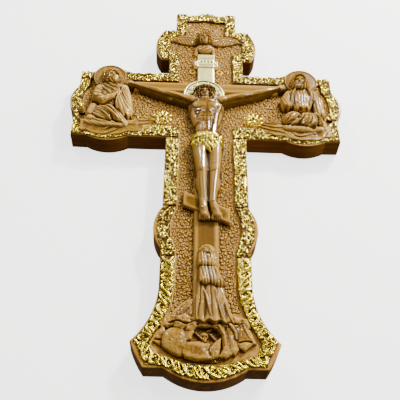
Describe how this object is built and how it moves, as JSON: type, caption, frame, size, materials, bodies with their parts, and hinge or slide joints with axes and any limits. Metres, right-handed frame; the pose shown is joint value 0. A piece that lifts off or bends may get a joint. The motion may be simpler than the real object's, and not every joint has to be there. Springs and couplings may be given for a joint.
{
  "type": "carved altar cross",
  "caption": "Carved wooden altar cross with a gilded knotwork border, a corpus on a plain inner cross, side figures and a hill at the foot.",
  "frame": {"origin": "centre of the back face's outline rectangle, on the back face", "axes": "+Y from the foot to the crown, +X to the viewer's right when facing the carving, +Z out of the carved face"},
  "size_m": [0.3512, 0.5466, 0.0465],
  "materials": {
    "stained_wood": "brown stained hardwood under satin lacquer",
    "honey_wood": "warm mid brown carved hardwood under satin lacquer",
    "gilding": "bright gold leaf over carved wood; brass stands in for the leaf's metal look",
    "dowel_wood": "plain hardwood, unfinished",
    "nail_brass": "dull brass"
  },
  "bodies": {
    "root": {"border_arm_end_left": "gilding", "border_arm_end_right": "gilding", "border_arm_low_corner_left": "gilding", "border_arm_low_corner_right": "gilding", "border_arm_low_left": "gilding", "border_arm_low_right": "gilding", "border_arm_top_corner_left": "gilding", "border_arm_top_corner_right": "gilding", "border_arm_top_left": "gilding", "border_arm_top_right": "gilding", "border_crown": "gilding", "border_crown_corner_left": "gilding", "border_crown_corner_right": "gilding", "border_crown_side_left": "gilding", "border_crown_side_right": "gilding", "border_flare_left": "gilding", "border_flare_right": "gilding", "border_foot": "gilding", "border_head_lobe_left": "gilding", "border_head_lobe_right": "gilding", "border_neck_left": "gilding", "border_neck_right": "gilding", "border_shaft_left": "gilding", "border_shaft_lobe_left": "gilding", "border_shaft_lobe_right": "gilding", "border_shaft_right": "gilding", "corpus_arm_left": "honey_wood", "corpus_arm_right": "honey_wood", "corpus_body": "honey_wood", "corpus_halo": "gilding", "corpus_head": "honey_wood", "crossbar_board": "stained_wood", "footrest": "honey_wood", "hill": "honey_wood", "inner_beam": "honey_wood", "inner_post": "honey_wood", "lap_dowel_left": "dowel_wood", "lap_dowel_right": "dowel_wood", "left_fleuron": "gilding", "left_ledge": "honey_wood", "left_saint": "honey_wood", "left_saint_halo": "honey_wood", "left_wing": "honey_wood", "loincloth": "gilding", "mourner": "honey_wood", "nail_foot_left": "nail_brass", "nail_foot_right": "nail_brass", "nail_hand_left": "nail_brass", "nail_hand_right": "nail_brass", "right_fleuron": "gilding", "right_ledge": "honey_wood", "right_saint": "honey_wood", "right_saint_halo": "honey_wood", "right_wing": "honey_wood", "skull": "honey_wood", "title_board": "gilding", "title_post": "gilding", "upright_board": "stained_wood", "winged_head": "honey_wood"}
  },
  "joints": []
}
